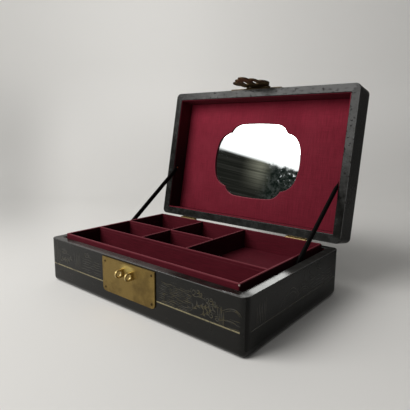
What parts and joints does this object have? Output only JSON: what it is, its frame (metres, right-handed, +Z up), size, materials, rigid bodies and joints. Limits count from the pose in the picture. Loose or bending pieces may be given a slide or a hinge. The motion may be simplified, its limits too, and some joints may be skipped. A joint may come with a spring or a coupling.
{
  "type": "jewelry box",
  "caption": "Shallow black lacquered box with a hinged mirrored lid held open by ribbon stays, a lift-out cloth-covered tray and a brass hasp over two staples.",
  "frame": {"origin": "centre of the underside, on the table", "axes": "+X to the right along the front, +Y from the front to the hinged back, +Z up"},
  "size_m": [0.3, 0.2812, 0.2635],
  "materials": {
    "lacquer": "black lacquer, semi-gloss, worn at the edges, with faint gilt lines",
    "lining_cloth": "crimson ribbed cloth",
    "brass": "aged brass, satin",
    "mirror_glass": "silvered glass",
    "backing_card": "plain card",
    "ribbon": "black woven ribbon"
  },
  "bodies": {
    "base": {"base_back_lining": "lining_cloth", "base_back_wall": "lacquer", "base_bottom_board": "lacquer", "base_floor_lining": "lining_cloth", "base_front_lining": "lining_cloth", "base_front_wall": "lacquer", "base_left_lining": "lining_cloth", "base_left_wall": "lacquer", "base_lock_plate": "brass", "base_plate_nails": "brass", "base_right_lining": "lining_cloth", "base_right_wall": "lacquer", "hinge_base_nails": "brass", "left_hinge_base_leaf": "brass", "left_hinge_pin": "brass", "left_staple": "brass", "left_stay": "ribbon", "right_hinge_base_leaf": "brass", "right_hinge_pin": "brass", "right_staple": "brass", "right_stay": "ribbon", "stay_base_tacks": "brass"},
    "lid": {"hasp_pin": "brass", "hinge_lid_nails": "brass", "left_hinge_lid_leaf": "brass", "lid_back_lining": "lining_cloth", "lid_back_wall": "lacquer", "lid_front_lining": "lining_cloth", "lid_front_wall": "lacquer", "lid_left_lining": "lining_cloth", "lid_left_wall": "lacquer", "lid_lining_panel": "lining_cloth", "lid_lock_plate": "brass", "lid_plate_nails": "brass", "lid_right_lining": "lining_cloth", "lid_right_wall": "lacquer", "lid_top_board": "lacquer", "mirror": "mirror_glass", "mirror_backing": "backing_card", "right_hinge_lid_leaf": "brass", "stay_lid_tacks": "brass"},
    "hasp": {"hasp": "brass"},
    "tray": {"tray_back_wall": "lining_cloth", "tray_cell_divider": "lining_cloth", "tray_cross_divider": "lining_cloth", "tray_floor": "lining_cloth", "tray_front_wall": "lining_cloth", "tray_left_shelf_divider": "lining_cloth", "tray_left_wall": "lining_cloth", "tray_long_divider": "lining_cloth", "tray_middle_shelf_divider": "lining_cloth", "tray_right_wall": "lining_cloth"}
  },
  "joints": [
    {"name": "lid_hinge", "type": "hinge", "parent": "base", "child": "lid", "pos_m": [0, 0.1007, 0.0562], "axis": [1, 0, 0], "range_deg": [0, 100.6], "deforming": ["left_stay", "right_stay"]},
    {"name": "hasp_hinge", "type": "hinge", "parent": "lid", "child": "hasp", "pos_m": [0, 0.14586, 0.25295], "axis": [-1, 0, 0], "range_deg": [0, 165]},
    {"name": "tray_lift", "type": "slide", "parent": "base", "child": "tray", "axis": [0, 0, 1], "range_m": [0, 0.018]}
  ]
}
